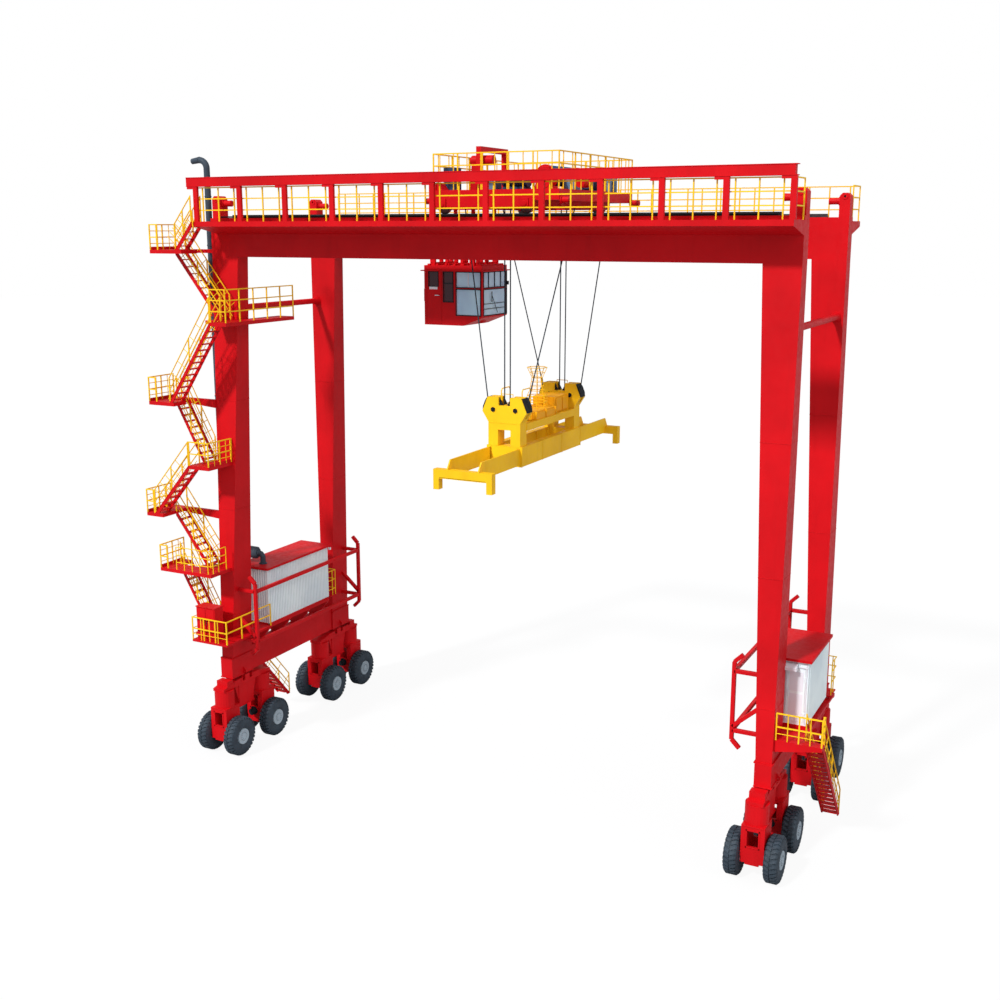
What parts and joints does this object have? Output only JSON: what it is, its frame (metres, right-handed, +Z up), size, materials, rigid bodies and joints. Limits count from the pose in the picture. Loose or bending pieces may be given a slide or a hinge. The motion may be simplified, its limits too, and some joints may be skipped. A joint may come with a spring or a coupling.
{
  "type": "rubber tyred gantry crane",
  "caption": "Portal crane on rubber tyred trucks with a trolley, cabin and container spreader, walkways, stair tower and machine houses.",
  "frame": {"origin": "on the ground under the middle of the whole crane's box", "axes": "+X across the bay along the girders, +Y along the travel direction, away from the stair tower, +Z up"},
  "size_m": [28.95, 12.482, 25.72],
  "materials": {
    "red_paint": "gloss",
    "yellow_paint": "gloss",
    "rail_steel": "satin",
    "white_panel": "satin",
    "dark_pipe": "satin",
    "tyre_rubber": "matte",
    "cabin_glass": "gloss",
    "rope_steel": "satin"
  },
  "bodies": {
    "gantry": {"leg_front_left": "red_paint", "leg_back_left": "red_paint", "leg_front_right": "red_paint", "leg_back_right": "red_paint", "girder_front": "red_paint", "girder_back": "red_paint", "sill_beam_left": "red_paint", "sill_beam_right": "red_paint", "cross_ties": "red_paint", "trolley_rails": "rail_steel", "girder_walkways": "red_paint", "cable_beam": "red_paint", "walkway_railings": "yellow_paint", "stair_stringers": "red_paint", "stair_treads": "red_paint", "stair_landings": "red_paint", "cabin_access_platform": "red_paint", "stair_railings": "yellow_paint", "side_platforms": "red_paint", "side_platform_railings": "yellow_paint", "control_cabinet": "red_paint", "generator_house": "white_panel", "house_skids": "red_paint", "electrical_house": "white_panel", "house_roofs": "red_paint", "exhaust_stack": "dark_pipe", "guard_frames": "red_paint"},
    "equalizer_front_left": {"equalizer_front_left": "red_paint"},
    "truck_front_left_outer": {"truck_front_left_outer": "red_paint"},
    "wheels_front_left_outer": {"wheels_front_left_outer": "tyre_rubber"},
    "truck_front_left_inner": {"truck_front_left_inner": "red_paint"},
    "wheels_front_left_inner": {"wheels_front_left_inner": "tyre_rubber"},
    "equalizer_back_left": {"equalizer_back_left": "red_paint"},
    "truck_back_left_outer": {"truck_back_left_outer": "red_paint"},
    "wheels_back_left_outer": {"wheels_back_left_outer": "tyre_rubber"},
    "truck_back_left_inner": {"truck_back_left_inner": "red_paint"},
    "wheels_back_left_inner": {"wheels_back_left_inner": "tyre_rubber"},
    "equalizer_front_right": {"equalizer_front_right": "red_paint"},
    "truck_front_right_outer": {"truck_front_right_outer": "red_paint"},
    "wheels_front_right_outer": {"wheels_front_right_outer": "tyre_rubber"},
    "truck_front_right_inner": {"truck_front_right_inner": "red_paint"},
    "wheels_front_right_inner": {"wheels_front_right_inner": "tyre_rubber"},
    "equalizer_back_right": {"equalizer_back_right": "red_paint"},
    "truck_back_right_outer": {"truck_back_right_outer": "red_paint"},
    "wheels_back_right_outer": {"wheels_back_right_outer": "tyre_rubber"},
    "truck_back_right_inner": {"truck_back_right_inner": "red_paint"},
    "wheels_back_right_inner": {"wheels_back_right_inner": "tyre_rubber"},
    "trolley": {"trolley_frame": "red_paint", "trolley_railings": "yellow_paint", "hoist_drum": "red_paint", "cabin_hanger": "red_paint", "cabin_body": "red_paint", "cabin_glass": "cabin_glass", "hoist_ropes": "rope_steel"},
    "lift": {"headblock": "yellow_paint", "spreader_frame": "yellow_paint", "cable_basket": "yellow_paint"},
    "spreader_end_near": {"spreader_end_near": "yellow_paint"},
    "spreader_end_far": {"spreader_end_far": "yellow_paint"},
    "electrical_house_door": {"electrical_house_door": "white_panel"}
  },
  "joints": [
    {"name": "equalizer_front_left_pivot", "type": "hinge", "parent": "gantry", "child": "equalizer_front_left", "pos_m": [-11.406, -3.6, 3.15], "axis": [1, 0, 0], "range_deg": [-3, 3]},
    {"name": "truck_front_left_outer_kingpin", "type": "hinge", "parent": "equalizer_front_left", "child": "truck_front_left_outer", "pos_m": [-11.406, -4.8415, 2.6], "axis": [0, 0, 1], "range_deg": [0, 90]},
    {"name": "wheels_front_left_outer_axle", "type": "hinge", "parent": "truck_front_left_outer", "child": "wheels_front_left_outer", "pos_m": [-11.406, -4.8415, 0.864], "axis": [1, 0, 0], "continuous": true},
    {"name": "truck_front_left_inner_kingpin", "type": "hinge", "parent": "equalizer_front_left", "child": "truck_front_left_inner", "pos_m": [-11.406, -2.3585, 2.6], "axis": [0, 0, 1], "range_deg": [0, 90]},
    {"name": "wheels_front_left_inner_axle", "type": "hinge", "parent": "truck_front_left_inner", "child": "wheels_front_left_inner", "pos_m": [-11.406, -2.3585, 0.864], "axis": [1, 0, 0], "continuous": true},
    {"name": "equalizer_back_left_pivot", "type": "hinge", "parent": "gantry", "child": "equalizer_back_left", "pos_m": [-11.406, 3.6, 3.15], "axis": [1, 0, 0], "range_deg": [-3, 3]},
    {"name": "truck_back_left_outer_kingpin", "type": "hinge", "parent": "equalizer_back_left", "child": "truck_back_left_outer", "pos_m": [-11.406, 4.8415, 2.6], "axis": [0, 0, 1], "range_deg": [0, 90]},
    {"name": "wheels_back_left_outer_axle", "type": "hinge", "parent": "truck_back_left_outer", "child": "wheels_back_left_outer", "pos_m": [-11.406, 4.8415, 0.864], "axis": [1, 0, 0], "continuous": true},
    {"name": "truck_back_left_inner_kingpin", "type": "hinge", "parent": "equalizer_back_left", "child": "truck_back_left_inner", "pos_m": [-11.406, 2.3585, 2.6], "axis": [0, 0, 1], "range_deg": [0, 90]},
    {"name": "wheels_back_left_inner_axle", "type": "hinge", "parent": "truck_back_left_inner", "child": "wheels_back_left_inner", "pos_m": [-11.406, 2.3585, 0.864], "axis": [1, 0, 0], "continuous": true},
    {"name": "equalizer_front_right_pivot", "type": "hinge", "parent": "gantry", "child": "equalizer_front_right", "pos_m": [12.456, -3.6, 3.15], "axis": [1, 0, 0], "range_deg": [-3, 3]},
    {"name": "truck_front_right_outer_kingpin", "type": "hinge", "parent": "equalizer_front_right", "child": "truck_front_right_outer", "pos_m": [12.456, -4.8415, 2.6], "axis": [0, 0, 1], "range_deg": [0, 90]},
    {"name": "wheels_front_right_outer_axle", "type": "hinge", "parent": "truck_front_right_outer", "child": "wheels_front_right_outer", "pos_m": [12.456, -4.8415, 0.864], "axis": [1, 0, 0], "continuous": true},
    {"name": "truck_front_right_inner_kingpin", "type": "hinge", "parent": "equalizer_front_right", "child": "truck_front_right_inner", "pos_m": [12.456, -2.3585, 2.6], "axis": [0, 0, 1], "range_deg": [0, 90]},
    {"name": "wheels_front_right_inner_axle", "type": "hinge", "parent": "truck_front_right_inner", "child": "wheels_front_right_inner", "pos_m": [12.456, -2.3585, 0.864], "axis": [1, 0, 0], "continuous": true},
    {"name": "equalizer_back_right_pivot", "type": "hinge", "parent": "gantry", "child": "equalizer_back_right", "pos_m": [12.456, 3.6, 3.15], "axis": [1, 0, 0], "range_deg": [-3, 3]},
    {"name": "truck_back_right_outer_kingpin", "type": "hinge", "parent": "equalizer_back_right", "child": "truck_back_right_outer", "pos_m": [12.456, 4.8415, 2.6], "axis": [0, 0, 1], "range_deg": [0, 90]},
    {"name": "wheels_back_right_outer_axle", "type": "hinge", "parent": "truck_back_right_outer", "child": "wheels_back_right_outer", "pos_m": [12.456, 4.8415, 0.864], "axis": [1, 0, 0], "continuous": true},
    {"name": "truck_back_right_inner_kingpin", "type": "hinge", "parent": "equalizer_back_right", "child": "truck_back_right_inner", "pos_m": [12.456, 2.3585, 2.6], "axis": [0, 0, 1], "range_deg": [0, 90]},
    {"name": "wheels_back_right_inner_axle", "type": "hinge", "parent": "truck_back_right_inner", "child": "wheels_back_right_inner", "pos_m": [12.456, 2.3585, 0.864], "axis": [1, 0, 0], "continuous": true},
    {"name": "trolley_travel", "type": "slide", "parent": "gantry", "child": "trolley", "axis": [1, 0, 0], "range_m": [-8, 7.2]},
    {"name": "hoist_lift", "type": "slide", "parent": "trolley", "child": "lift", "axis": [0, 0, 1], "range_m": [-10.6, 4.5], "deforming": ["hoist_ropes"]},
    {"name": "spreader_end_near_slide", "type": "slide", "parent": "lift", "child": "spreader_end_near", "axis": [0, -1, 0], "range_m": [-3.067, 0]},
    {"name": "spreader_end_far_slide", "type": "slide", "parent": "lift", "child": "spreader_end_far", "axis": [0, 1, 0], "range_m": [-3.067, 0]},
    {"name": "electrical_house_door_hinge", "type": "hinge", "parent": "gantry", "child": "electrical_house_door", "pos_m": [13.498, -2.98, 6.3], "axis": [0, 0, 1], "range_deg": [0, 90]}
  ],
  "couplings": [
    {"joint": "spreader_end_far_slide", "follows": "spreader_end_near_slide", "ratio": 1}
  ]
}
